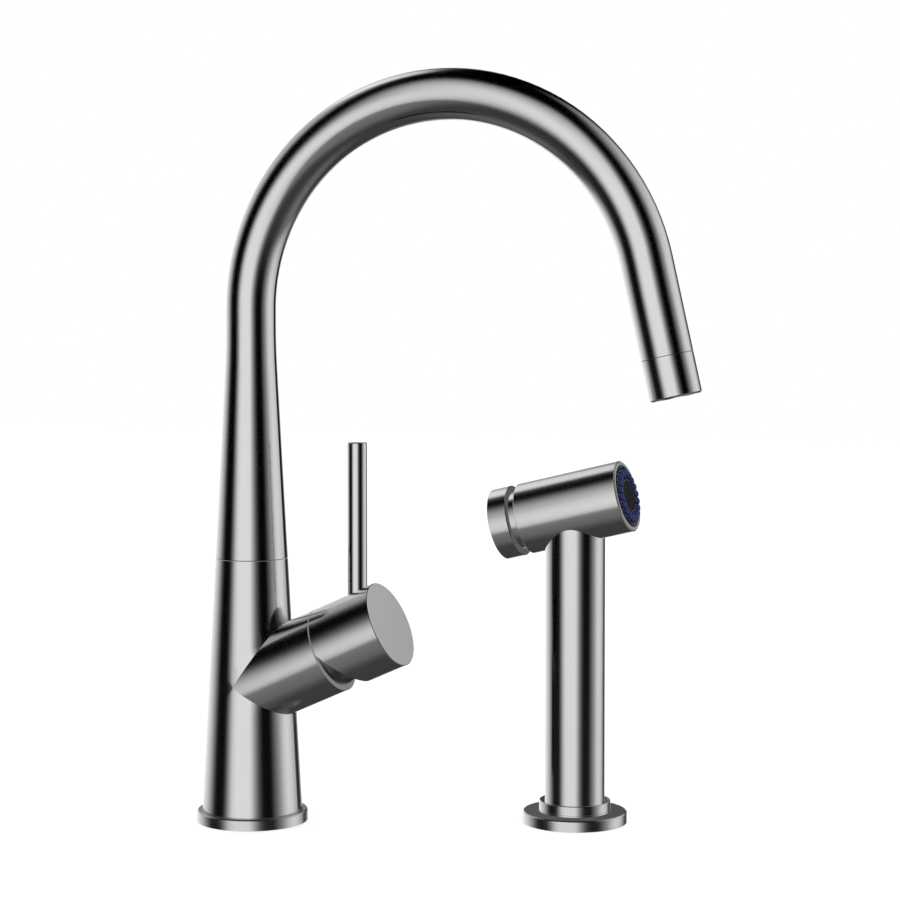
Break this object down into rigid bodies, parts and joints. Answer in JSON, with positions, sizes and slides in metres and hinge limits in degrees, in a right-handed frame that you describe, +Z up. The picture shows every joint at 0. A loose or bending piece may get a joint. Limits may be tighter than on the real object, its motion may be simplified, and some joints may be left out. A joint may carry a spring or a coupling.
{
  "type": "side spray kitchen faucet",
  "caption": "Single-lever kitchen mixer with a swivelling gooseneck spout and a pull-out hand spray standing beside it in its own deck holder.",
  "frame": {"origin": "middle of the mixer's base on the worktop, at the mouth of the fixing-stud hole", "axes": "+Z up; +X the way the spout, the handle barrel and the spray head point at rest; +Y towards the side on which the hand spray stands"},
  "size_m": [0.2498, 0.104, 0.3594],
  "materials": {
    "stainless": "satin, finely brushed",
    "bright_steel": "plain bright",
    "dome_metal": "smooth",
    "brass": "machined",
    "black_rubber": "matt",
    "blue_silicone": "soft satin",
    "black_plastic": "matt",
    "grey_plastic": "matt",
    "white_plastic": "matt",
    "ceramic": "polished"
  },
  "bodies": {
    "fixed": {"escutcheon": "stainless", "deck_gasket": "black_rubber", "base_insert": "brass", "hot_pipe": "bright_steel", "cold_pipe": "bright_steel", "spray_pipe": "bright_steel", "mixer_body": "stainless", "valve_core": "brass", "swivel_spigot": "brass", "swivel_seals": "black_rubber", "slide_ring": "black_plastic", "spout_circlip": "bright_steel", "diverter_cage": "white_plastic", "port_seals": "black_rubber", "cartridge_base": "white_plastic", "fixed_disc": "ceramic", "cartridge_housing": "white_plastic", "cartridge_nut": "brass", "cartridge_dome": "dome_metal", "holder_flange": "stainless", "holder_gasket": "black_rubber", "holder_collar": "stainless"},
    "spout": {"spout": "stainless", "spout_bush": "white_plastic", "spout_screw": "bright_steel", "aerator_sleeve": "stainless", "sleeve_washer": "black_rubber", "aerator_seal": "black_rubber", "aerator_insert": "grey_plastic"},
    "cartridge_rotor": {"rotor": "white_plastic", "pivot_pin": "bright_steel"},
    "handle": {"stem": "brass", "handle_cap": "stainless", "lever": "stainless", "handle_screw": "bright_steel", "handle_plug": "grey_plastic"},
    "ceramic_slide": {"moving_disc": "ceramic", "disc_carrier": "white_plastic"},
    "diverter": {"diverter_piston": "white_plastic", "diverter_spring": "bright_steel"},
    "turn_ring": {"glide_ring": "black_plastic"},
    "handset": {"handset_tube": "stainless", "spray_head": "stainless", "rod_gland": "black_plastic", "hose_socket": "brass", "check_valve": "white_plastic", "water_tube": "white_plastic", "tube_seal": "black_rubber", "valve_seat": "white_plastic", "seat_seal": "black_rubber", "spray_plate": "black_plastic", "nozzle_ring": "blue_silicone", "centre_insert": "black_plastic", "centre_ring": "grey_plastic", "trim_ring": "bright_steel", "valve_spring": "bright_steel"},
    "button": {"push_button": "stainless", "push_rod": "bright_steel", "poppet_seal": "black_rubber"}
  },
  "joints": [
    {"name": "spout_swivel", "type": "hinge", "parent": "fixed", "child": "spout", "pos_m": [0, 0, 0.1277], "axis": [0, 0, 1], "range_deg": [-60, 60]},
    {"name": "handle_turn", "type": "hinge", "parent": "fixed", "child": "cartridge_rotor", "pos_m": [0, 0, 0.0659], "axis": [0.9109, 0, 0.4126], "range_deg": [-40, 40]},
    {"name": "handle_lift", "type": "hinge", "parent": "cartridge_rotor", "child": "handle", "pos_m": [0.04217, 0, 0.085], "axis": [0, 1, 0], "range_deg": [0, 25]},
    {"name": "disc_slide", "type": "slide", "parent": "cartridge_rotor", "child": "ceramic_slide", "axis": [-0.4126, 0, 0.9109], "range_m": [0, 0.0057]},
    {"name": "diverter_lift", "type": "slide", "parent": "fixed", "child": "diverter", "axis": [0, 0, 1], "range_m": [0, 0.003], "stiffness_N_per_m": 60, "springref_m": -0.003, "deforming": ["diverter_spring"]},
    {"name": "spray_turn", "type": "hinge", "parent": "fixed", "child": "turn_ring", "pos_m": [0.1472, 0.0521, 0], "axis": [0, 0, 1], "continuous": true},
    {"name": "spray_lift", "type": "slide", "parent": "turn_ring", "child": "handset", "axis": [0, 0, 1], "range_m": [0, 0.04]},
    {"name": "button_press", "type": "slide", "parent": "handset", "child": "button", "axis": [0.9711, 0, 0.2389], "range_m": [0, 0.0033], "stiffness_N_per_m": 1200, "springref_m": -0.002, "deforming": ["valve_spring"]}
  ],
  "couplings": [
    {"joint": "disc_slide", "follows": "handle_lift", "m_per_rad": 0.01288}
  ]
}
